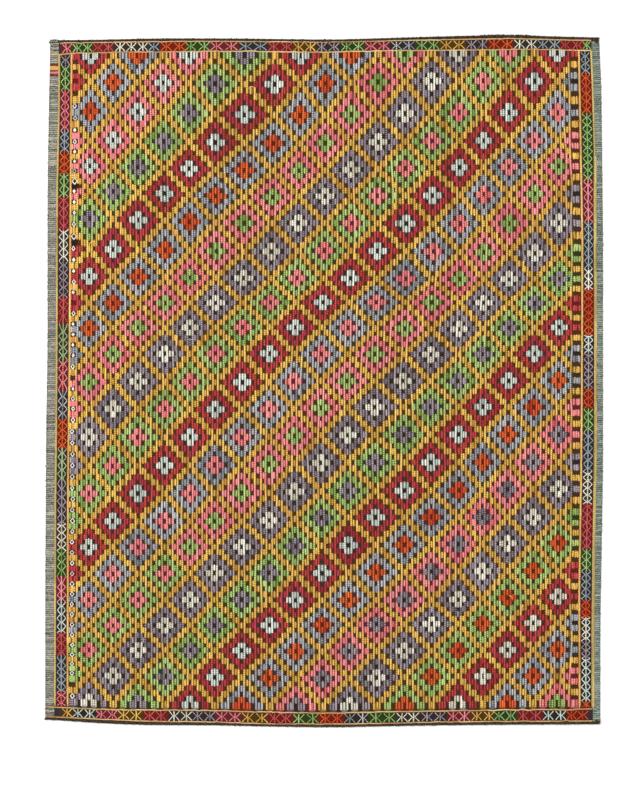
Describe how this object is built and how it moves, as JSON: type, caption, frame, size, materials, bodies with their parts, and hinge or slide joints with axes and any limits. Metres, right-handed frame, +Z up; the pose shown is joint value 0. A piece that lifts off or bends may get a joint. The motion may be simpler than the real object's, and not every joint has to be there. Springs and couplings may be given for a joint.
{
  "type": "kilim rug",
  "caption": "Flat-woven wool rug with a brocaded lozenge field, motif borders, plain end webs and overcast selvedge cords, lying flat.",
  "frame": {"origin": "middle of the rug's outline, on its underside", "axes": "+X across the rug, from one plain end web to the other; +Y along its selvedge-to-selvedge way, which is the longer one; +Z up out of its face"},
  "size_m": [1.226, 1.5218, 0.0048],
  "materials": {
    "brocaded_wool": "matt handspun wool brocade in gold, red, pink, green, grey and cream on dark brown",
    "dark_brown_wool": "matt dark brown wool, whipped round the edge"
  },
  "bodies": {
    "root": {"kilim_cloth": "brocaded_wool", "selvedge_cord_upper": "dark_brown_wool", "selvedge_cord_lower": "dark_brown_wool"}
  },
  "joints": []
}
